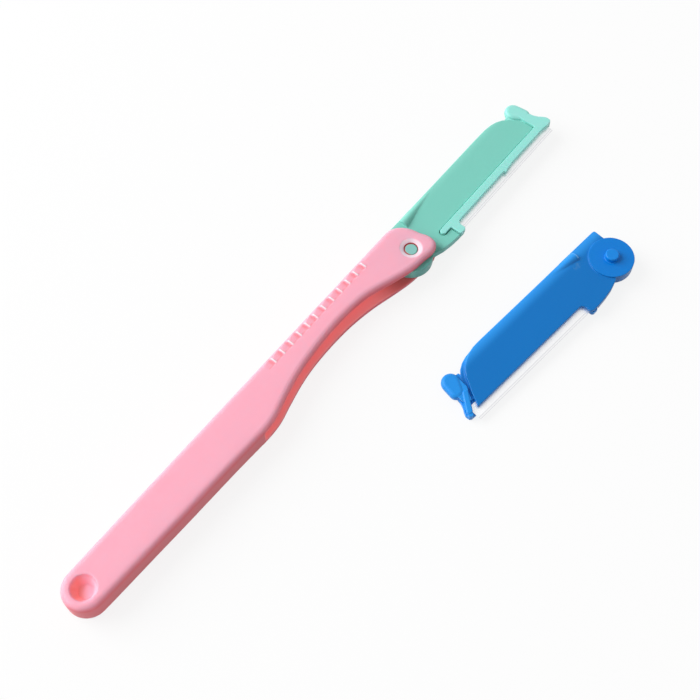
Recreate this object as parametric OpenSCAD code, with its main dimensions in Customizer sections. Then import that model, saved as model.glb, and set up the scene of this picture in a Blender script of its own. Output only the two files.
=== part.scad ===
// Folding eyebrow razor with a spare blade head beside it.
// The razor lies on its back with the blade head swung out. X runs along the
// handle towards the blade head, Y towards the plain spine edge, Z up from
// the rest face. The frame's origin is on the rest face, halfway along the handle.
// Lengths are in millimetres.

/* [Handle] */
// From the pivot to the butt end
handle_reach = 102.8; // [96:0.4:110]
// From the pivot up to the spine edge of the handle
handle_rise = 6.9; // [6.7:0.1:7.6]
// From the pivot to the tip of the ears
ear_reach = 5.3; // [5.1:0.1:5.6]
// Thickness of the handle
handle_t = 6.2; // [6.1:0.1:7]
// Rounding of the long edges of the handle
handle_round = 1.1; // [0.6:0.1:1.4]
// Radius of the butt end
butt_r = 4.5; // [4.2:0.1:4.8]
// Width of the gap between the two cheeks
slot_w = 2.9; // [2.9:0.05:3.1]
// Thickness of the wall that joins the cheeks along the spine
spine_wall = 0.9; // [0.8:0.05:1]

/* [Grip ribs and hanging dimple] */
// Number of grip ribs
rib_count = 12; // [8:1:13]
// Distance from one rib to the next
rib_pitch = 2.69; // [2.4:0.05:2.9]
// Width of one rib
rib_w = 0.6; // [0.4:0.05:0.9]
// Length of a rib across the face
rib_len = 2.2; // [1.6:0.1:2.8]
// Depth of the scoops between the ribs
rib_depth = 0.35; // [0.15:0.05:0.4]
// From the pivot to the first rib
rib_start = 9.9; // [9:0.1:12]
// Radius of the dimple at the face
dimple_r = 2.7; // [2.2:0.1:3]
// Radius of the dimple's floor
dimple_floor_r = 1.5; // [1:0.1:1.8]
// Depth of the dimple
dimple_depth = 2.6; // [1.5:0.1:3.4]

/* [Pivot] */
// Radius of the pivot pins
pin_r = 1.5; // [1.2:0.05:1.8]
// How far each pin stands out of the hub disc
pin_len = 1.25; // [1.1:0.05:1.5]
// Radius of the hub disc
hub_r = 5; // [4.6:0.05:5.1]
// Thickness of the hub disc
hub_t = 2.7; // [2.5:0.05:2.7]
// Radius of the countersink round the pivot hole
sink_r = 2.6; // [2.3:0.1:2.8]
// Depth of the countersink
sink_depth = 0.4; // [0.2:0.05:0.45]

/* [Blade head] */
// From the pivot to the end of the head's plate
head_reach = 46.4; // [44:0.2:47.4]
// From the pivot up to the spine of the head
head_rise = 7.2; // [7:0.1:7.4]
// Thickness of the plate
plate_t = 1.7; // [1.5:0.05:1.8]
// Thickness of the plate under the blade
seat_t = 0.9; // [0.8:0.05:1]
// Thickness of the finger ridge along the spine, at its root
ridge_t = 3.4; // [2.8:0.1:3.6]
// Width of the finger ridge at its root
ridge_w = 2.9; // [2.5:0.1:3.1]
// Thickness of the ridge where it runs out at the nose
ridge_end_t = 1.3; // [1:0.05:1.4]

/* [Blade clamp] */
// Width of the clamp bar
bar_w = 1.8; // [1.6:0.05:2.1]
// Thickness of the clamp bar
bar_t = 1; // [0.8:0.05:1.1]
// Width of the foot across the clamp
foot_w = 1.9; // [1.6:0.05:2.1]
// Width of the stem behind the plate's end
stem_w = 1.3; // [1.1:0.05:1.4]
// Radius of the thumb tab at its free end
tab_r = 2.05; // [1.8:0.05:2.1]
// Rounding of the thumb tab's edges
tab_round = 0.8; // [0.5:0.05:0.9]

/* [Blade] */
// Thickness of the steel blade
blade_t = 0.25; // [0.2:0.01:0.3]
// Length of the blade
blade_len = 34.9; // [32:0.1:36]
// From the pivot line down to the cutting edge
blade_drop = 5; // [4.8:0.05:5.5]
// Width of the ground bevel
bevel_w = 0.45; // [0.3:0.05:0.6]

/* [Spare head] */
// How far past the pivot the spare head's pins lie
spare_x = 26.6; // [20:0.2:34]
// How far below the handle's pivot the spare head's pins lie
spare_drop = 34.8; // [28:0.2:42]
// Turn of the spare head against the handle
spare_turn = 6.1; // [0:0.1:10]

/* [Hidden] */
$fn = 64;

// Clearances
pin_fit = 0.05;
part_gap = 0.2;
stop_gap = 0.1;
touch_gap = 0.02;
crest_proud = 0.15;
bite = handle_t;

// The pivot seen from the frame's origin: the origin is halfway along the handle
pivot_x = (handle_reach - ear_reach) / 2;
pivot_y = -0.28 * handle_rise;
pivot_z = handle_t / 2;

// The handle's outline is a table of control points. X is a share of the reach to the butt
// behind the pivot and a share of the reach to the ear's tip before it. Y is a share of the rise.
// The third number is the front cheek's own edge, which is cut back further than the rear one.
under_shares = [
    [-0.9047, -0.3507, -0.3507], [-0.8249, -0.3797, -0.3797], [-0.749, -0.413, -0.413],
    [-0.6712, -0.4377, -0.4377], [-0.5934, -0.4638, -0.4638], [-0.5447, -0.4928, -0.487],
    [-0.5107, -0.5072, -0.4928], [-0.4893, -0.5043, -0.471], [-0.4698, -0.4812, -0.4203],
    [-0.4504, -0.4203, -0.3406], [-0.43, -0.3377, -0.2493], [-0.4086, -0.2609, -0.1667],
    [-0.3862, -0.1812, -0.087], [-0.3638, -0.1188, -0.0261], [-0.3414, -0.0696, 0.0217],
    [-0.3161, -0.0348, 0.0652], [-0.287, -0.0145, 0.1043], [-0.2529, -0.0116, 0.1275],
    [-0.2237, -0.0261, 0.1304], [-0.1946, -0.0609, 0.113], [-0.1654, -0.1232, 0.0725],
    [-0.1411, -0.1884, 0.0029], [-0.1167, -0.2754, -0.1087], [-0.0924, -0.3696, -0.2348],
    [-0.0681, -0.4565, -0.3551], [-0.0467, -0.5217, -0.4522], [-0.0253, -0.5652, -0.5217],
    [-0.0039, -0.587, -0.5507]
];
ear_shares = [
    [0.34, -0.6], [0.566, -0.597], [0.755, -0.558], [0.896, -0.478], [0.981, -0.348],
    [1, -0.188], [0.972, -0.043], [0.915, 0.087], [0.872, 0.217], [0.84, 0.362], [0.783, 0.507],
    [0.689, 0.652], [0.566, 0.783], [0.425, 0.884], [0.245, 0.957], [0.038, 0.993]
];
butt_y = 0.326 * handle_rise;
butt_turns = [90, 108, 126, 144, 162, 180, 198, 216, 234, 252, 270];

// The smoothed ring's point at the middle of the ear's end
ear_tip = 2 * len(under_shares) + len(ear_shares) - 1;

function reach_of(share) = share < 0 ? share * handle_reach : share * ear_reach;

// The spine edge has a point over each point of the underside, and dips a little towards the butt
function spine_share(back) = 1 - 0.08 * pow(max(0, back - 0.5), 2);

// One ring of control points; side 0 is the rear cheek's outline, side 1 the front cheek's
function handle_ring(side) = concat(
    [for (s = under_shares) [reach_of(s[0]), s[1 + side] * handle_rise]],
    [for (s = ear_shares) [reach_of(s[0]), s[1] * handle_rise]],
    [for (i = [len(under_shares) - 1 : -1 : 0])
        let (share = under_shares[i][0])
        [reach_of(share), spine_share(-share) * handle_rise]],
    [for (a = butt_turns) [butt_r - handle_reach + butt_r * cos(a), butt_y + butt_r * sin(a)]]
);

// A smooth closed curve through the control points
function blend(a, b, c, d, t) =
    0.5 * (2 * b + (c - a) * t + (2 * a - 5 * b + 4 * c - d) * t * t
    + (3 * b - a - 3 * c + d) * t * t * t);
function smooth(ring, steps) =
    let (n = len(ring))
    [for (i = [0 : n - 1]) for (k = [0 : steps - 1])
        blend(ring[(i + n - 1) % n], ring[i], ring[(i + 1) % n], ring[(i + 2) % n], k / steps)];

// Outward normals of a ring that runs anticlockwise, and the ring moved inwards
function outward(ring) =
    let (n = len(ring))
    [for (i = [0 : n - 1])
        let (run = ring[(i + 1) % n] - ring[(i + n - 1) % n])
        [run[1], -run[0]] / norm(run)];
function inset(ring, depth) =
    let (out = outward(ring))
    [for (i = [0 : len(ring) - 1]) ring[i] - depth * out[i]];

// The end face of a ring of n points, as triangles that zip its two long sides together from
// the point at one tip to the one opposite
function zipped(n, tip) =
    [for (k = [0 : n / 2 - 1])
        let (a = (tip - k + n) % n, b = (tip + k) % n)
        let (next_a = (a - 1 + n) % n, next_b = (b + 1) % n)
        each concat(
            k > 0 ? [[next_a, a, b]] : [],
            k < n / 2 - 1 ? [[next_a, b, next_b]] : [])];

// A closed solid through rings of points, each anticlockwise as seen from the last one
module loft(rings, tip = 0) {
    n = len(rings[0]);
    points = [for (ring = rings) for (p = ring) p];
    sides = [for (k = [0 : len(rings) - 2]) for (i = [0 : n - 1]) for (half = [0, 1])
        half == 0
            ? [k * n + i, (k + 1) * n + (i + 1) % n, k * n + (i + 1) % n]
            : [k * n + i, (k + 1) * n + i, (k + 1) * n + (i + 1) % n]];
    floor_faces = zipped(n, tip);
    roof_faces = [for (f = floor_faces) [for (i = [2, 1, 0]) (len(rings) - 1) * n + f[i]]];
    polyhedron(points = points, faces = concat(sides, roof_faces, floor_faces), convexity = 6);
}

// A slab with rounded edges between two outlines with the same number of points
round_turns = [0, 30, 60, 90];
function at_height(ring, z) = [for (p = ring) [p[0], p[1], z]];
module slab(lower, upper, low, high, low_round, high_round, tip = 0) {
    low_rings = [for (a = round_turns)
        at_height(inset(lower, low_round * (1 - sin(a))), low + low_round * (1 - cos(a)))];
    high_rings = [for (a = round_turns)
        at_height(inset(upper, high_round * (1 - cos(a))), high - high_round * (1 - sin(a)))];
    loft(concat(low_rings, high_rings), tip);
}

// The outline round two circles of different radius, anticlockwise
function round_pair(a, ra, b, rb, steps) =
    let (
        run = b - a,
        heading = atan2(run[1], run[0]),
        lean = acos((ra - rb) / norm(run))
    )
    concat(
        [for (k = [0 : steps])
            let (t = heading + lean + k / steps * (360 - 2 * lean))
            a + ra * [cos(t), sin(t)]],
        [for (k = [0 : steps])
            let (t = heading - lean + k / steps * 2 * lean)
            b + rb * [cos(t), sin(t)]]
    );

// Heights in the head's own frame: its pivot line is x = y = 0 and its middle plane z = 0
plate_rear = -0.56 * plate_t;
seat_z = plate_rear + seat_t;
blade_front = seat_z + blade_t;
bar_front = blade_front + bar_t;

// Plan positions in the head's own frame, all measured from the pivot
spur_x = -0.39 * head_rise;
ridge_x = 0.108 * head_reach;
ridge_len = 0.69 * head_reach;
seat_edge = -0.26 * hub_r;
bar_edge = seat_edge - part_gap;
bar_under = bar_edge - bar_w;
foot_x = 0.236 * head_reach;
foot_end_x = foot_x + foot_w;
foot_drop = 1.14 * blade_drop;
tongue_r = 0.37 * foot_w;
tongue_x = 0.195 * head_reach;
tongue_y = bar_edge - tongue_r;
blade_x = foot_end_x + part_gap;
blade_back = seat_edge - part_gap;
stem_top = [0.992 * head_reach, 0.139 * head_rise];
stem_foot = [1.0444 * head_reach, -0.32 * head_rise];
lug_x = 0.66 * head_reach;
lug_len = 0.065 * head_reach;
lug_drop = 0.17 * bar_w;
tab_top = [0.996 * head_reach, 0.693 * head_rise];
tab_root = [1.0118 * head_reach, 0.376 * head_rise];
tab_root_r = 0.78 * tab_r;

// The plate's outline, anticlockwise, in shares of the head's reach and rise: the root and the
// lower edge, then the nose of the rear layer or of the front layer, then the spine
root_shares = [
    [-0.0606, 0.45], [0.0541, -0.4861], [0.0779, -0.5833], [0.1255, -0.6806], [0.1775, -0.7361],
    [0.2251, -0.7639], [0.2662, -0.7681], [0.2771, -0.7486], [0.2835, -0.7083], [0.2846, -0.5556],
    [0.2868, -0.4792], [0.2944, -0.4236], [0.303, -0.4097], [0.316, -0.4042]
];
rear_nose_shares = [
    [0.9881, -0.4042], [0.9957, -0.3958], [0.9989, -0.3861], [1, -0.3681], [0.9989, -0.35],
    [0.968, 0.056], [0.9437, 0.32], [0.9331, 0.46], [0.916, 0.61], [0.8957, 0.73],
    [0.8707, 0.835], [0.841, 0.92], [0.8117, 0.972], [0.78, 0.995], [0.74, 1]
];
front_nose_shares = [
    [0.968, -0.4042], [0.972, -0.38], [0.973, -0.34], [0.973, 0.07], [0.9705, 0.25],
    [0.9615, 0.42], [0.9425, 0.62], [0.917, 0.785], [0.887, 0.895], [0.852, 0.96],
    [0.818, 0.988], [0.78, 0.998], [0.74, 1]
];
spine_end_shares = [[-0.0476, 1], [-0.0552, 0.9903], [-0.0595, 0.9722], [-0.0606, 0.9444]];
function plate_ring(nose_shares) =
    [for (s = concat(root_shares, nose_shares, spine_end_shares))
        [s[0] * head_reach, s[1] * head_rise]];
stem_round = 0.15 * plate_t;

// The clamp's frame round the plate's end, from the bar's lower edge up to the thumb tab:
// first its outer side, then its inner side along the plate's front layer
frame_out_shares = [
    [0.99, -0.46], [1.028, -0.495], [1.053, -0.49], [1.063, -0.44], [1.065, -0.31], [1.056, -0.19],
    [1.042, -0.06], [1.033, 0.08], [1.03, 0.22]
];
frame_in_shares = [[0.984, 0.42], [0.979, 0.25], [0.979, 0.07]];
function frame_points(shares) = [for (s = shares) [s[0] * head_reach, s[1] * head_rise]];

// Where the spare head's pin end and its tip touch the ground: it leans by this angle
pin_end = hub_t / 2 + pin_len;
pin_tip_r = 0.87 * pin_r;
tip_touch_x = max([for (s = frame_out_shares) s[0] * head_reach]);
spare_tilt = atan2(pin_end - bar_front, tip_touch_x - pin_tip_r);
spare_z = pin_end * cos(spare_tilt) + pin_tip_r * sin(spare_tilt) + touch_gap;

// Folded, the blade head reaches this far back into the handle
slot_reach = 1.136 * head_reach;
slot_top = handle_rise - spine_wall;

// Places a head in the open handle
module in_handle() {
    translate([pivot_x, pivot_y, pivot_z])
        children();
}

// Lays a head beside the handle, front side down
module beside_handle() {
    translate([pivot_x + spare_x, pivot_y - spare_drop, spare_z])
        rotate([0, 0, -spare_turn])
            rotate([0, 180 - spare_tilt, 0])
                children();
}

// The pink handle: one moulding with two cheeks and a gap between them
module handle() {
    color([1, 0.71, 0.8])
        in_handle()
            difference() {
                union() {
                    slab(smooth(handle_ring(0), 2), smooth(handle_ring(1), 2),
                        -handle_t / 2, handle_t / 2, handle_round, handle_round, ear_tip);
                    rib_crests();
                }
                blade_slot();
                pivot_hole();
                hanging_dimple();
                grip_scoops();
            }
}

// The gap that the folded head lies in. The wall along the spine ends short of the head's spur.
module blade_slot() {
    wall_end = spur_x - stop_gap;
    translate([0, 0, -slot_w / 2])
        linear_extrude(height = slot_w)
            polygon([
                [-slot_reach, -2 * bite],
                [2 * ear_reach, -2 * bite],
                [2 * ear_reach, 2 * bite],
                [wall_end, 2 * bite],
                [wall_end, slot_top],
                [-slot_reach, slot_top]
            ]);
}

module pivot_hole() {
    cylinder(h = 2 * bite, r = pin_r + pin_fit, center = true);
    for (side = [0, 180])
        rotate([side, 0, 0])
            translate([0, 0, handle_t / 2 - sink_depth])
                cylinder(h = 2 * sink_depth, r1 = pin_r + pin_fit,
                    r2 = 2 * sink_r - pin_r - pin_fit);
}

module hanging_dimple() {
    translate([butt_r - handle_reach, butt_y, handle_t / 2 - dimple_depth])
        cylinder(h = 2 * dimple_depth, r1 = dimple_floor_r, r2 = 2 * dimple_r - dimple_floor_r);
}

// The rounded crest of each rib on the front face
module rib_crests() {
    crest_r = 0.4 * rib_w;
    for (i = [0 : rib_count - 1])
        translate([-rib_start - i * rib_pitch, handle_rise - rib_len,
            handle_t / 2 + crest_proud - crest_r])
            rotate([-90, 0, 0])
                cylinder(h = rib_len - 0.9 * handle_round, r = crest_r);
}

// Ramped scoops between the ribs, on both faces
module grip_scoops() {
    scoop = rib_pitch - rib_w;
    slope = atan2(rib_depth, scoop);
    ramp = scoop / cos(slope);
    for (i = [0 : rib_count - 1])
        for (side = [1, -1])
            translate([-rib_start - i * rib_pitch - rib_w / 2 - scoop, handle_rise - rib_len,
                side * (handle_t / 2 + touch_gap)])
                rotate([0, side * slope, 0])
                    translate([0, 0, (side - 1) / 2 * bite])
                        cube([ramp, rib_len + bite, bite]);
}

// One blade head's moulding: hub disc with two pins, plate, finger ridge, blade seat
module body_shape() {
    difference() {
        union() {
            translate([0, 0, plate_rear])
                linear_extrude(height = seat_t)
                    polygon(plate_ring(rear_nose_shares));
            translate([0, 0, seat_z])
                linear_extrude(height = plate_t - seat_t)
                    polygon(plate_ring(front_nose_shares));
            cylinder(h = hub_t, r = hub_r, center = true);
            finger_ridge();
        }
        blade_seat();
    }
    pins();
}

module pins() {
    pin_chamfer = pin_r - pin_tip_r;
    cylinder(h = 2 * (pin_end - pin_chamfer), r = pin_r, center = true);
    for (side = [0, 180])
        rotate([side, 0, 0])
            translate([0, 0, pin_end - pin_chamfer])
                cylinder(h = pin_chamfer, r1 = pin_r, r2 = pin_tip_r);
}

// A half-round bar along the spine. It thins quickly at first and then slowly, and has run out
// before the nose. Each stage is a share of its length and how much of its swell is left there.
ridge_stage_shares = [
    [0, 1], [0.05, 0.84], [0.1, 0.66], [0.16, 0.46], [0.23, 0.29], [0.32, 0.15], [0.5, 0.05], [1, 0]
];
ridge_sides = 24;
module finger_ridge() {
    squash = ridge_w / ridge_t;
    crown = head_rise + 0.04 * ridge_w;
    loft([for (s = ridge_stage_shares)
        let (r = (ridge_end_t + s[1] * (ridge_t - ridge_end_t)) / 2)
        [for (k = [0 : ridge_sides - 1])
            let (a = k / ridge_sides * 360)
            [ridge_x + s[0] * ridge_len, crown + squash * r * (cos(a) - 1), r * sin(a)]]]);
}

// The step in the plate's front face that takes the blade, the clamp bar and its foot
module blade_seat() {
    translate([foot_x - part_gap, -2 * bite, seat_z])
        cube([2 * head_reach, 2 * bite + seat_edge, bite]);
    // The land between the foot and the tongue stays; this is the tongue's pocket
    translate([tongue_x, tongue_y - tongue_r - part_gap, seat_z - part_gap])
        cube([foot_x - tongue_x, 2 * (tongue_r + part_gap), bite]);
    translate([tongue_x, tongue_y, seat_z - part_gap])
        cylinder(h = bite, r = tongue_r + part_gap);
}

// One steel blade: a flat strip with a bevel ground along its cutting edge
module blade_shape() {
    edge_land = 0.1 * blade_t;
    translate([blade_x, 0, seat_z])
        rotate([90, 0, 90])
            linear_extrude(height = blade_len)
                polygon([
                    [blade_back, 0],
                    [blade_back, blade_t],
                    [bevel_w - blade_drop, blade_t],
                    [-blade_drop, (blade_t + edge_land) / 2],
                    [-blade_drop, (blade_t - edge_land) / 2],
                    [bevel_w - blade_drop, 0]
                ]);
}

// One blade clamp: bar over the blade with a foot and a tongue at the root end, and a stem
// with a thumb tab at the tip end
module clamp_shape() {
    bar_z = blade_front + touch_gap;
    bar_h = bar_front - bar_z;
    fillet_r = 0.5 * foot_w;
    foot_round = 0.2 * foot_w;
    frame_in_x = frame_in_shares[2][0] * head_reach;
    // Tongue
    translate([tongue_x, tongue_y, bar_z])
        cylinder(h = bar_h, r = tongue_r);
    translate([tongue_x, tongue_y - tongue_r, bar_z])
        cube([foot_x + foot_round - tongue_x, 2 * tongue_r, bar_h]);
    // Foot, bar with a shallow lug halfway along the blade, and the frame at the tip
    translate([0, 0, bar_z])
        linear_extrude(height = bar_h)
            polygon([
                [foot_x, bar_edge],
                [foot_x, -foot_drop + foot_round],
                [foot_x + foot_round, -foot_drop],
                [foot_end_x - foot_round, -foot_drop],
                [foot_end_x, -foot_drop + foot_round],
                [foot_end_x, bar_under - fillet_r],
                [foot_end_x + 0.1 * fillet_r, bar_under - 0.6 * fillet_r],
                [foot_end_x + 0.3 * fillet_r, bar_under - 0.3 * fillet_r],
                [foot_end_x + 0.6 * fillet_r, bar_under - 0.1 * fillet_r],
                [foot_end_x + fillet_r, bar_under],
                [lug_x, bar_under],
                [lug_x + 0.06 * lug_len, bar_under - 1.5 * lug_drop],
                [lug_x + 0.22 * lug_len, bar_under - 1.5 * lug_drop],
                [lug_x + 0.34 * lug_len, bar_under - 0.8 * lug_drop],
                [lug_x + 0.8 * lug_len, bar_under - 0.6 * lug_drop],
                [lug_x + lug_len, bar_under],
                each frame_points(frame_out_shares),
                each frame_points(frame_in_shares),
                [frame_in_x, bar_edge]
            ]);
    // Stem behind the plate's end, cut through where the blade's end lies
    stem_ring = round_pair(stem_top, stem_w / 2, stem_foot, stem_w / 2, 8);
    difference() {
        slab(stem_ring, stem_ring, plate_rear, bar_front - touch_gap, stem_round, stem_round);
        translate([stem_top[0] - stem_w, -2 * bite, seat_z - touch_gap])
            cube([bite, 2 * bite + blade_back + part_gap, bar_z - seat_z + touch_gap]);
    }
    // Thumb tab
    tab_ring = round_pair(tab_top, tab_r, tab_root, tab_root_r, 11);
    slab(tab_ring, tab_ring, plate_rear - touch_gap, bar_front, tab_round, tab_round);
}

mint = [0.51, 0.82, 0.77];
steel = [0.93, 0.93, 0.94];
blue = [0.11, 0.45, 0.76];

// Mint head body: plate, hub disc and pins in one moulding
module head_body() {
    color(mint)
        in_handle()
            body_shape();
}

// Steel blade in the mint head
module blade() {
    color(steel)
        in_handle()
            blade_shape();
}

// Mint clamp that holds the blade down
module clamp() {
    color(mint)
        in_handle()
            clamp_shape();
}

// Blue body of the spare head
module spare_body() {
    color(blue)
        beside_handle()
            body_shape();
}

// Steel blade in the spare head
module spare_blade() {
    color(steel)
        beside_handle()
            blade_shape();
}

// Blue clamp of the spare head
module spare_clamp() {
    color(blue)
        beside_handle()
            clamp_shape();
}

handle();
head_body();
blade();
clamp();
spare_body();
spare_blade();
spare_clamp();
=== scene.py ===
import math

import bmesh
import bpy
from mathutils import Matrix, Vector


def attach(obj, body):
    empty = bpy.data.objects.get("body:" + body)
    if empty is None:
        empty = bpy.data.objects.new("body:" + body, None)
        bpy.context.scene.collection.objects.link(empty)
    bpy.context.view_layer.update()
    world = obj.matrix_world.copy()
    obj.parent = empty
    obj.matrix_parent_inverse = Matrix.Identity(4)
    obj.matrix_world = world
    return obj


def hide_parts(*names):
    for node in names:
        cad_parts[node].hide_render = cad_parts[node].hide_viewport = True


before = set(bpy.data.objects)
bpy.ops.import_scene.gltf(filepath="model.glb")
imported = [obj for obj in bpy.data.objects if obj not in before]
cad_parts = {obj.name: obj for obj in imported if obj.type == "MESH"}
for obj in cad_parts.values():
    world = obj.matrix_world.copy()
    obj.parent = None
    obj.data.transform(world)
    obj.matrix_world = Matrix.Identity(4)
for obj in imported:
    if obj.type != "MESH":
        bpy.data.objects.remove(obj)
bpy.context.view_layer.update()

MM = 0.001  # lengths below are in millimetres unless a line says otherwise


# ---- Pink handle
# One moulding in pink plastic: two cheeks with a slot between them for the folded head, joined
# along the spine and at the butt. Every edge is soft, as it leaves the mould, so the solid from
# the frame is skinned with small even faces and its edges are eased.

def applied(piece):
    """The piece's mesh with its modifiers applied, and the modifiers taken off it."""
    ready = piece.evaluated_get(bpy.context.evaluated_depsgraph_get())
    mesh = bpy.data.meshes.new_from_object(ready)
    piece.modifiers.clear()
    mesh.materials.clear()
    return mesh


def moulded(node, name, place, grain, ease, keep, rounder=None, rounds=40, added=(),
            lies_on=None):
    """A soft-edged copy of a CAD node, made in mm in the frame that place puts it in: skinned
    with faces of the size grain, eased in ease steps, and thinned to the share keep.
    rounder(point) says where its edges are rounder still, the closed meshes in added become one
    with it, and its underside at the height lies_on goes a little deeper, so that no gap opens
    as the edges are eased."""
    same_height, deeper = 0.04, 0.15
    mesh = bpy.data.meshes.new(name)
    piece = bpy.data.objects.new(name, mesh)
    bpy.context.scene.collection.objects.link(piece)
    solid = bmesh.new()
    solid.from_mesh(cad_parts[node].data)
    bmesh.ops.remove_doubles(solid, verts=solid.verts, dist=1e-7)
    bmesh.ops.transform(solid, matrix=place.inverted() @ Matrix.Scale(1 / MM, 4), verts=solid.verts)
    for extra in added:
        solid.from_mesh(extra)
    if lies_on is not None:
        under = [v for v in solid.verts if abs(v.co.z - lies_on) < same_height]
        bmesh.ops.translate(solid, vec=(0, 0, -deeper), verts=under)
    solid.to_mesh(mesh)
    solid.free()
    skin = piece.modifiers.new("skin", "REMESH")
    skin.mode = "VOXEL"
    skin.voxel_size = grain
    skin.use_smooth_shade = True
    piece.data = applied(piece)
    eased = piece.modifiers.new("eased", "SMOOTH")
    eased.factor = 0.5
    eased.iterations = ease
    if rounder:
        chosen = piece.vertex_groups.new(name="rounder")
        chosen.add([v.index for v in piece.data.vertices if rounder(v.co)], 1.0, "ADD")
        rounded = piece.modifiers.new("rounded", "SMOOTH")
        rounded.factor = 0.5
        rounded.iterations = rounds
        rounded.vertex_group = chosen.name
    fewer = piece.modifiers.new("fewer", "DECIMATE")
    fewer.ratio = keep
    fewer.use_collapse_triangulate = True
    piece.data = applied(piece)
    piece.vertex_groups.clear()
    piece.data.transform(Matrix.Scale(MM, 4) @ place)
    for face in piece.data.polygons:
        face.use_smooth = True
    return piece


class Value:
    """A socket in a material. Arithmetic on it adds Math nodes."""

    def __init__(self, finish, socket):
        self.finish, self.socket = finish, socket

    def calc(self, operation, first, second):
        return self.finish.node("ShaderNodeMath", {"operation": operation}, {0: first, 1: second})

    def __add__(self, other):
        return self.calc("ADD", self, other)

    def __radd__(self, other):
        return self.calc("ADD", other, self)

    def __sub__(self, other):
        return self.calc("SUBTRACT", self, other)

    def __rsub__(self, other):
        return self.calc("SUBTRACT", other, self)

    def __mul__(self, other):
        return self.calc("MULTIPLY", self, other)

    def __rmul__(self, other):
        return self.calc("MULTIPLY", other, self)

    def __truediv__(self, other):
        return self.calc("DIVIDE", self, other)

    def __abs__(self):
        return self.calc("ABSOLUTE", self, 0.0)

    def past(self, low, high):
        """0 below low, 1 above high and smooth between them."""
        return self.finish.node("ShaderNodeMapRange", {"interpolation_type": "SMOOTHSTEP"}, {
            "Value": self, "From Min": low, "From Max": high})


class Finish:
    """A material with one Principled shader."""

    def __init__(self, name):
        self.material = bpy.data.materials.new(name)
        self.material.use_nodes = True
        self.tree = self.material.node_tree
        self.shader = self.tree.nodes["Principled BSDF"]

    def feed(self, node, sockets):
        for key, value in sockets.items():
            if isinstance(value, Value):
                self.tree.links.new(value.socket, node.inputs[key])
            else:
                node.inputs[key].default_value = value

    def node(self, kind, settings, sockets, out=0):
        node = self.tree.nodes.new(kind)
        for key, value in settings.items():
            setattr(node, key, value)
        self.feed(node, sockets)
        return Value(self, node.outputs[out])

    def place(self):
        return self.node("ShaderNodeTexCoord", {}, {}, "Object")

    def place_from(self, x, y, z, place=None):
        """The three coordinates in mm from a point that is given in mm."""
        moved = self.node("ShaderNodeMapping", {}, {
            "Vector": place or self.place(), "Location": (-x, -y, -z),
            "Scale": (1 / MM, 1 / MM, 1 / MM)})
        split = self.node("ShaderNodeSeparateXYZ", {}, {"Vector": moved}).socket.node
        return [Value(self, split.outputs[axis]) for axis in range(3)]

    def distance(self, across, up):
        """How far a point lies from the middle, from its two coordinates."""
        return self.node("ShaderNodeMath", {"operation": "SQRT"}, {0: across * across + up * up})

    def noise(self, place, scale, detail=2.0, roughness=0.5, distortion=0.0):
        return self.node("ShaderNodeTexNoise", {}, {
            "Vector": place, "Scale": scale, "Detail": detail, "Roughness": roughness,
            "Distortion": distortion})

    def blend(self, amount, first, second):
        """The first colour where amount is 0, and the second where it is 1."""
        return self.node("ShaderNodeMix", {"data_type": "RGBA"},
                         {0: amount, 6: first, 7: second}, 2)

    def seen(self):
        """1 where the camera or a reflection looks, 0 where light bounces."""
        ray = self.node("ShaderNodeLightPath", {}, {}).socket.node
        return self.node("ShaderNodeMath", {"operation": "MAXIMUM"}, {
            0: Value(self, ray.outputs["Is Camera Ray"]),
            1: Value(self, ray.outputs["Is Glossy Ray"])})

    def mix_in(self, amount, other):
        """Another shader mixed into the surface."""
        mixed = self.node("ShaderNodeMixShader", {}, {
            0: amount, 1: Value(self, self.shader.outputs[0]), 2: other})
        surface = self.tree.nodes["Material Output"].inputs["Surface"]
        self.tree.links.new(mixed.socket, surface)

    def bump(self, height, depth):
        return self.node("ShaderNodeBump", {}, {
            "Strength": 1.0, "Distance": depth, "Height": height})


def linear(red, green, blue):
    """A screen colour from 0 to 255 as the shader's linear colour."""
    def one(level):
        level /= 255
        return level / 12.92 if level <= 0.04045 else ((level + 0.055) / 1.055) ** 2.4
    return (one(red), one(green), one(blue), 1.0)


def plastic(name, colour, deep, glow, glow_reach, satin, shine=0.4, marks=None):
    """Moulded plastic: its colour drifts a little between colour and deep, with faint flow marks
    and an orange-peel skin. marks(finish, shade) adds what only some places of the piece show."""
    finish = Finish(name)
    place = finish.place()
    drift = finish.noise(place, 45.0, 3.0)
    flow = finish.noise(finish.node("ShaderNodeMapping", {}, {
        "Vector": place, "Scale": (90.0, 700.0, 700.0)}), 1.0, 3.0, 0.6, 0.4)
    peel = finish.noise(place, 2600.0, 2.0)
    grain = finish.noise(place, 9000.0, 1.0)
    shade = finish.blend(drift * 0.5 + flow * 0.3 - 0.2, colour, deep)
    finish.feed(finish.shader, {
        "Base Color": marks(finish, shade) if marks else shade,
        "Roughness": satin + (peel - 0.5) * 0.12 + (flow - 0.5) * 0.1,
        "Normal": finish.bump(peel * 0.7 + grain * 0.3 + flow * 0.4, 0.000004),
        "Specular IOR Level": shine,
        "Subsurface Weight": glow,
        "Subsurface Radius": glow_reach,
        "Subsurface Scale": 0.001,
    })
    return finish.material


pins = (48.75, -1.932, 3.1)
dimple_at = (-98.3, 2.25)


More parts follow.
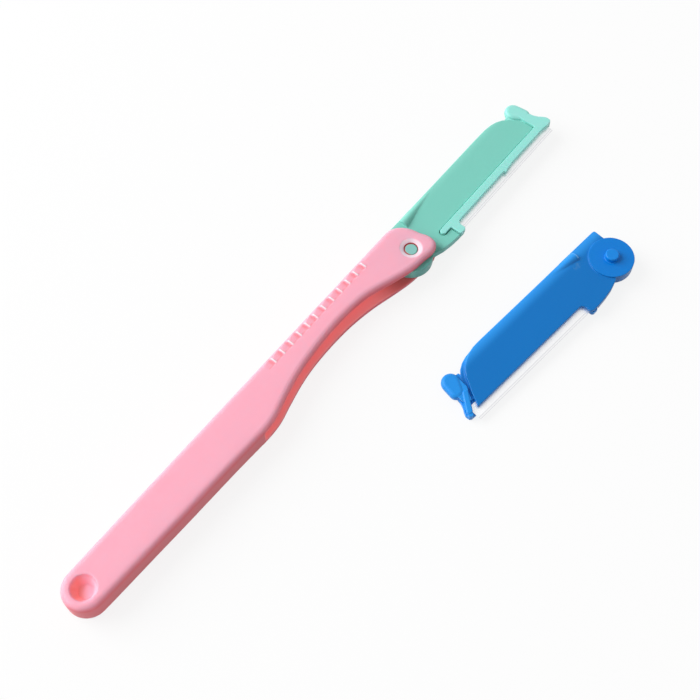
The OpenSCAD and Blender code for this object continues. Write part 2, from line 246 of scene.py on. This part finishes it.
def handle_marks(finish, shade):
    """Painted light and shade on the pink plastic: painted shade on the sides, in the slot and in
    the dimple, a painted shadow in the slot under the ear, painted shade and highlights on the grip
    ribs, and a painted highlight round the pivot holes with painted shade inside them. A painted
    glow lights the slot, less under the ear, and the dimple."""
    x, y, z = finish.place_from(*pins)
    slot = (1 - abs(z).past(1.5, 1.62)) * (1 - y.past(6.1, 6.3)) * x.past(-52.85, -52.75)
    # Painted shade on the handle's sides and underside, less on the spine side.
    side_shade = (1 - z.past(1.9, 3.1)) * (1 - y.past(0.5, 5.5) * 0.8)
    shade = finish.blend(side_shade, shade, linear(246, 121, 132))
    # Painted shade in the slot between the cheeks, turning to a darker painted shadow under the
    # ear.
    shadow = x.past(-13.0, -5.0)
    shade = finish.blend(slot, shade, finish.blend(
        shadow, linear(255, 140, 142), linear(214, 88, 88)))
    first_rib, rib_pitch = -9.9, 2.69
    rib = finish.node("ShaderNodeMath", {"operation": "FRACT"}, {
        0: (x - first_rib) / -rib_pitch + 0.5}) - 0.5
    ribs = y.past(4.5, 4.7) * (1 - x.past(-9.6, -9.4)) * x.past(-41.8, -41.4)
    # Painted shade at each rib's foot and in its scoop, and a painted highlight along its crest.
    foot = abs(rib).past(0.09, 0.13) * (1 - y.past(4.8, 5.1))
    shade = finish.blend(ribs * foot * 0.6, shade, linear(243, 140, 152))
    scoop_shade = rib.past(0.09, 0.13) * (1 - rib.past(0.16, 0.5)) * (1 - y.past(5.6, 7.0))
    shade = finish.blend(ribs * scoop_shade * 0.8, shade, linear(243, 140, 152))
    crest_highlight = (1 - abs(rib).past(0.03, 0.09)) * z.past(2.9, 3.1)
    shade = finish.blend(ribs * crest_highlight * 0.9, shade, linear(255, 236, 240))
    from_pin = finish.distance(x, y)
    # A painted highlight on the countersunk ring round the pivot hole, and painted shade on the
    # hole's wall inside it.
    ring_highlight = from_pin.past(1.58, 1.7) * (1 - from_pin.past(2.3, 2.65)) * abs(z).past(2.5, 2.6)
    shade = finish.blend(ring_highlight * 0.75, shade, linear(255, 228, 237))
    shade = finish.blend((1 - from_pin.past(1.56, 1.62)) * 0.9, shade, linear(205, 80, 84))
    end_x, end_y = x - dimple_at[0], y - dimple_at[1]
    from_dimple = finish.distance(end_x, end_y)
    # Painted shade in the dimple, coral on its wall away from the lamp and paler on the lit side.
    dimple = (1 - from_dimple.past(2.2, 2.7)) * (1 - z.past(3.0, 3.1))
    shade = finish.blend(dimple, shade, finish.blend(
        (end_x - end_y).past(-2.2, 1.0), linear(255, 150, 144), linear(255, 192, 212)))
    # A painted glow in the slot, fainter under the ear, and half as strong in the dimple, as if lit
    # from behind by light passing the thin pink plastic.
    painted_glow = slot * (1 - shadow * 0.6) + dimple * 0.5
    finish.feed(finish.shader, {
        "Emission Color": finish.blend(painted_glow, (0.0, 0.0, 0.0, 1.0), (0.15, 0.065, 0.065, 1.0)),
        "Emission Strength": 1.0})
    return shade


def solid_rim(at):
    """The rim of the handle's solid end, apart from the dimple's."""
    from_dimple = math.hypot(at.x - dimple_at[0], at.y - dimple_at[1])
    return at.x < -53.5 and at.y < 4.2 and from_dimple > 3.3912


pink = plastic("pink_plastic", linear(252, 179, 198), linear(249, 171, 190), 0.5,
               (3.0, 1.0, 1.0), 0.42, 0.25, handle_marks)
head_place = Matrix.Translation(pins)
handle = moulded("handle", "handle_moulding", head_place, 0.12, 3, 0.26, solid_rim, 90)
handle.data.materials.append(pink)
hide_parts("handle")
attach(handle, "handle")


# ---- Mint head body
# Hub disc with its two pins, plate and finger ridge in one mint moulding. The pins snap into
# the handle's ears.

def head_marks(finish, shade):
    """Painted light and shade on the mint head: painted shade on the pin's recessed end, a painted
    shadow and pink reflection of the ear round it, painted shade on the hub's lower wall and a
    painted highlight along the spine edge."""
    x, y, z = finish.place_from(*pins)
    from_pin = finish.distance(x, y)
    # A painted shadow and pink reflection of the ear on one side of the pin's rim.
    rim = from_pin.past(1.18, 1.34) * (1 - from_pin.past(1.8, 1.9)) * abs(z).past(1.7, 1.8)
    shade = finish.blend(rim * (y - x * 0.5).past(-0.9, 0.5), shade, linear(190, 84, 84))
    # Painted shade on the pin's end, which sits recessed in the ear.
    shade = finish.blend((1 - from_pin.past(1.15, 1.25)) * 0.8, shade, linear(138, 192, 188))
    # Painted shade on the hub disc's lower wall.
    hub_wall_shade = (1 - y.past(-4.4, -3.2)) * (1 - x.past(5.0, 6.5))
    shade = finish.blend(hub_wall_shade * 0.7, shade, linear(80, 158, 148))
    # A painted highlight along the spine edge.
    return finish.blend(y.past(5.2, 7.4) * 0.5, shade, linear(150, 228, 214))


def free_edge(at):
    """The head's edge from the ridge round to its nose, clear of the clamp."""
    return at.y > 3.4 and at.x > 9


mint = plastic("mint_plastic", linear(124, 205, 190), linear(117, 197, 182), 0.1,
               (0.4, 1.0, 0.8), 0.4, marks=head_marks)
head = moulded("head_body", "mint_head", head_place, 0.08, 3, 0.35, free_edge)
head.data.materials.append(mint)
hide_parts("head_body")
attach(head, "head")


# ---- Mint clamp
# The bar that holds the blade down, hooked in the plate by its tongue at the root, and sprung
# behind the plate's end by its stem. The thumb tab lifts it.

def clamp_web():
    """The clamp's web round the plate's nose, its neck from the stem up to the tab and its foot
    beside the blade's end, as closed meshes in mm in the head's own frame."""
    shapes = []
    for outline, low, high in (
            ([(46.5, -0.9), (46.4, 4.6), (44.6, 5.6), (43.4, 5.4), (43.3, 4.7), (43.7, 4.2),
              (44.6, 2.9), (45.0, 1.7), (45.05, 1.0), (45.25, -0.9)], 0.0, 0.35),
            ([(46.2, -0.9), (47.7, -0.6), (47.8, 2.5), (46.5, 5.0), (44.5, 4.9), (44.7, 1.8),
              (45.5, 0.6)], -0.85, -0.1),
            ([(48.1, -2.9), (49.3, -2.5), (49.4, -3.2), (48.9, -3.55), (48.4, -3.4)], -0.8, 0.9)):
        web = bmesh.new()
        base = web.faces.new([web.verts.new((x, y, low)) for x, y in outline])
        raised = bmesh.ops.extrude_face_region(web, geom=[base])["geom"]
        bmesh.ops.translate(web, vec=(0, 0, high - low),
                            verts=[v for v in raised if isinstance(v, bmesh.types.BMVert)])
        bmesh.ops.recalc_face_normals(web, faces=web.faces)
        mesh = bpy.data.meshes.new("clamp_web")
        web.to_mesh(mesh)
        web.free()
        shapes.append(mesh)
    return shapes


# The clamp's mint is a paler copy of the head's: painted light for the raised bar and tab, which
# catch more of the lamp.
pale_mint = plastic("pale_mint_plastic", linear(152, 228, 218), linear(145, 220, 210), 0.15,
                    (0.4, 1.0, 0.8), 0.38)
blade_top = max((head_place.inverted() @ (v.co / MM)).z
                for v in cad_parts["blade"].data.vertices)
clamp = moulded("clamp", "mint_clamp", head_place, 0.05, 14, 0.35, added=clamp_web(),
                lies_on=blade_top)
clamp.data.materials.append(pale_mint)
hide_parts("clamp")
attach(clamp, "head")


# ---- Steel blades
# A strip of steel with a bevel ground along its edge, held flat on the plate by the clamp.

def blade_steel(name, place_of):
    """Ground steel: fine marks along the strip, and a painted darker reflection at the line where
    its bevel starts and along the bevel by the edge.
    """
    steel = Finish(name)
    x, y, z = place_of(steel)
    brush = steel.noise(steel.node("ShaderNodeCombineXYZ", {}, {
        "X": x * 0.3, "Y": y * 9.0, "Z": z * 9.0}), 1.0, 3.0)
    shade = steel.blend(brush, linear(250, 250, 250), linear(242, 242, 244))
    # A painted darker reflection at the line where the bevel starts, and along the bevel by the
    # edge.
    line = (1 - abs(y + 4.5).past(0.04, 0.16)) * 0.4
    shade = steel.blend(line, shade, linear(186, 187, 192))
    shade = steel.blend((1 - y.past(-4.95, -4.8)) * 0.5, shade, linear(196, 197, 202))
    steel.feed(steel.shader, {
        "Base Color": shade,
        "Roughness": 0.3 + brush * 0.15,
        "Normal": steel.bump(brush, 0.000002),
        "Metallic": 0.8,
    })
    return steel.material


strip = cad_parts["blade"]
strip.data.materials.clear()
strip.data.materials.append(blade_steel("blade_steel", lambda steel: steel.place_from(*pins)))


# ---- Spare head
# The same head, blade and clamp once more, moulded in blue plastic. It is loose, and lies front
# side down beside the handle, leaning a little on its lower pin and the tip of its clamp.

spare_pins = (75.35, -36.732, 2.617)
spare_turn, spare_lean = math.radians(6.1), math.radians(178.3)
spare_place = (Matrix.Translation(spare_pins) @ Matrix.Rotation(-spare_turn, 4, "Z")
               @ Matrix.Rotation(spare_lean, 4, "Y"))


def spare_mm(finish):
    """Where a point of the spare head lies from its pins, in mm, and its height on the table."""
    x, y = spare_pins[:2]
    turned = finish.node("ShaderNodeVectorRotate", {"rotation_type": "Z_AXIS"}, {
        "Vector": finish.place(), "Center": (x * MM, y * MM, 0.0), "Angle": spare_turn})
    return finish.place_from(x, y, 0.0, turned)


def spare_marks(finish, shade):
    """The lighter disc and pin, a painted highlight on the ridge's end face and along the spine
    edge, and a rubbed spot beside the ridge.
    """
    x, y, z = spare_mm(finish)
    from_pin = finish.distance(x, y)
    shade = finish.blend((1 - from_pin.past(4.9, 5.0)) * z.past(3.6, 3.8), shade,
                         linear(0, 122, 210))
    shade = finish.blend((1 - from_pin.past(1.5, 1.6)) * z.past(4.5, 4.8), shade,
                         linear(16, 133, 222))
    # A painted highlight on the ridge's end face.
    ridge_end_highlight = (x.past(-5.5, -5.2) * (1 - x.past(-4.9, -4.6)) * z.past(3.7, 3.9)
                 * y.past(4.9, 5.1) * (1 - y.past(7.0, 7.3)))
    shade = finish.blend(ridge_end_highlight * 0.6, shade, linear(150, 205, 245))
    from_spot = (x + 6.8) * (x + 6.8) * 0.4 + (y - 4.0) * (y - 4.0)
    rub = finish.noise(finish.place(), 900.0, 3.0).past(0.35, 0.7)
    shade = finish.blend((1 - from_spot.past(0.1, 0.7)) * rub * 0.6, shade, linear(88, 140, 185))
    # A painted highlight along the spine edge.
    return finish.blend(y.past(4.2, 7.2) * 0.85, shade, linear(50, 160, 248))


blue = plastic("blue_plastic", linear(0, 114, 192), linear(0, 107, 185), 0.03,
               (0.3, 0.5, 1.0), 0.34, shine=0.25, marks=spare_marks)
spare = moulded("spare_body", "blue_head", spare_place, 0.08, 3, 0.35, free_edge)
spare.data.materials.append(blue)
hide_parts("spare_body")
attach(spare, "spare_head")
# The clamp's blue is a paler copy of the head's: painted light for the raised bar and tab, which
# catch more of the lamp.
pale_blue = plastic("pale_blue_plastic", linear(34, 146, 232), linear(28, 139, 226), 0.03,
                    (0.3, 0.5, 1.0), 0.34, shine=0.25)
spare_clamp = moulded("spare_clamp", "blue_clamp", spare_place, 0.05, 14, 0.35,
                      added=clamp_web(), lies_on=blade_top)
spare_clamp.data.materials.append(pale_blue)
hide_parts("spare_clamp")
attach(spare_clamp, "spare_head")
spare_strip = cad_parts["spare_blade"]
spare_strip.data.materials.clear()
spare_strip.data.materials.append(blade_steel("spare_blade_steel", spare_mm))


# ---- Table and light
# A plain table that looks white but throws back a duller light, a white studio round it that is
# dimmer where it lights the pieces, and one large soft lamp at the photograph's upper left.

table = bmesh.new()
bmesh.ops.create_grid(table, x_segments=1, y_segments=1, size=3.0)
table_mesh = bpy.data.meshes.new("table")
table.to_mesh(table_mesh)
table.free()
floor = bpy.data.objects.new("table", table_mesh)
bpy.context.scene.collection.objects.link(floor)
paper = Finish("table_white")
seen = paper.seen()
paper.feed(paper.shader, {
    "Base Color": paper.blend(seen, (0.55, 0.55, 0.55, 1.0), (0.9, 0.9, 0.9, 1.0)),
    "Roughness": 0.9, "Specular IOR Level": 0.0})
paper.mix_in(seen * 0.85, paper.node("ShaderNodeEmission", {}, {"Strength": 1.0}))
table_mesh.materials.append(paper.material)

world = bpy.data.worlds.new("studio")
bpy.context.scene.world = world
world.use_nodes = True
air = world.node_tree
ray = air.nodes.new("ShaderNodeLightPath")
bright = air.nodes.new("ShaderNodeMath")
bright.operation = "MAXIMUM"
air.links.new(ray.outputs["Is Camera Ray"], bright.inputs[0])
air.links.new(ray.outputs["Is Glossy Ray"], bright.inputs[1])
level = air.nodes.new("ShaderNodeMapRange")
level.inputs["To Min"].default_value = 0.46
level.inputs["To Max"].default_value = 1.0
air.links.new(bright.outputs[0], level.inputs["Value"])
air.nodes["Background"].inputs["Color"].default_value = (1.0, 1.0, 1.0, 1.0)
air.links.new(level.outputs[0], air.nodes["Background"].inputs["Strength"])


def lamp(name, at, aim, size, power):
    """A round soft lamp at a point in metres, turned to another, with its width and its watts."""
    light = bpy.data.lights.new(name, "AREA")
    light.shape = "DISK"
    light.size = size
    light.energy = power
    holder = bpy.data.objects.new(name, light)
    holder.location = at
    holder.rotation_euler = (Vector(aim) - Vector(at)).to_track_quat("-Z", "Y").to_euler()
    bpy.context.scene.collection.objects.link(holder)


lamp("key_lamp", (-0.45, 1.0, 0.75), (0.0, 0.0, 0.0), 1.3, 21.8)


# ---- Camera
# At the photograph's viewing angle: 28 degrees off straight down, with the handle running from
# the lower left to the upper right of the picture.

camera = bpy.data.objects.new("camera", bpy.data.cameras.new("camera"))
eye, target = Vector((-0.0700, -0.0799, 0.2252)), Vector((0.0235, -0.0052, 0.0))
camera.location = eye
camera.rotation_euler = (target - eye).to_track_quat("-Z", "Y").to_euler()
camera.data.sensor_width = 36.0
camera.data.lens = 61.7
camera.data.clip_start = 0.01
bpy.context.scene.collection.objects.link(camera)
bpy.context.scene.camera = camera
bpy.context.scene.view_settings.view_transform = "Standard"
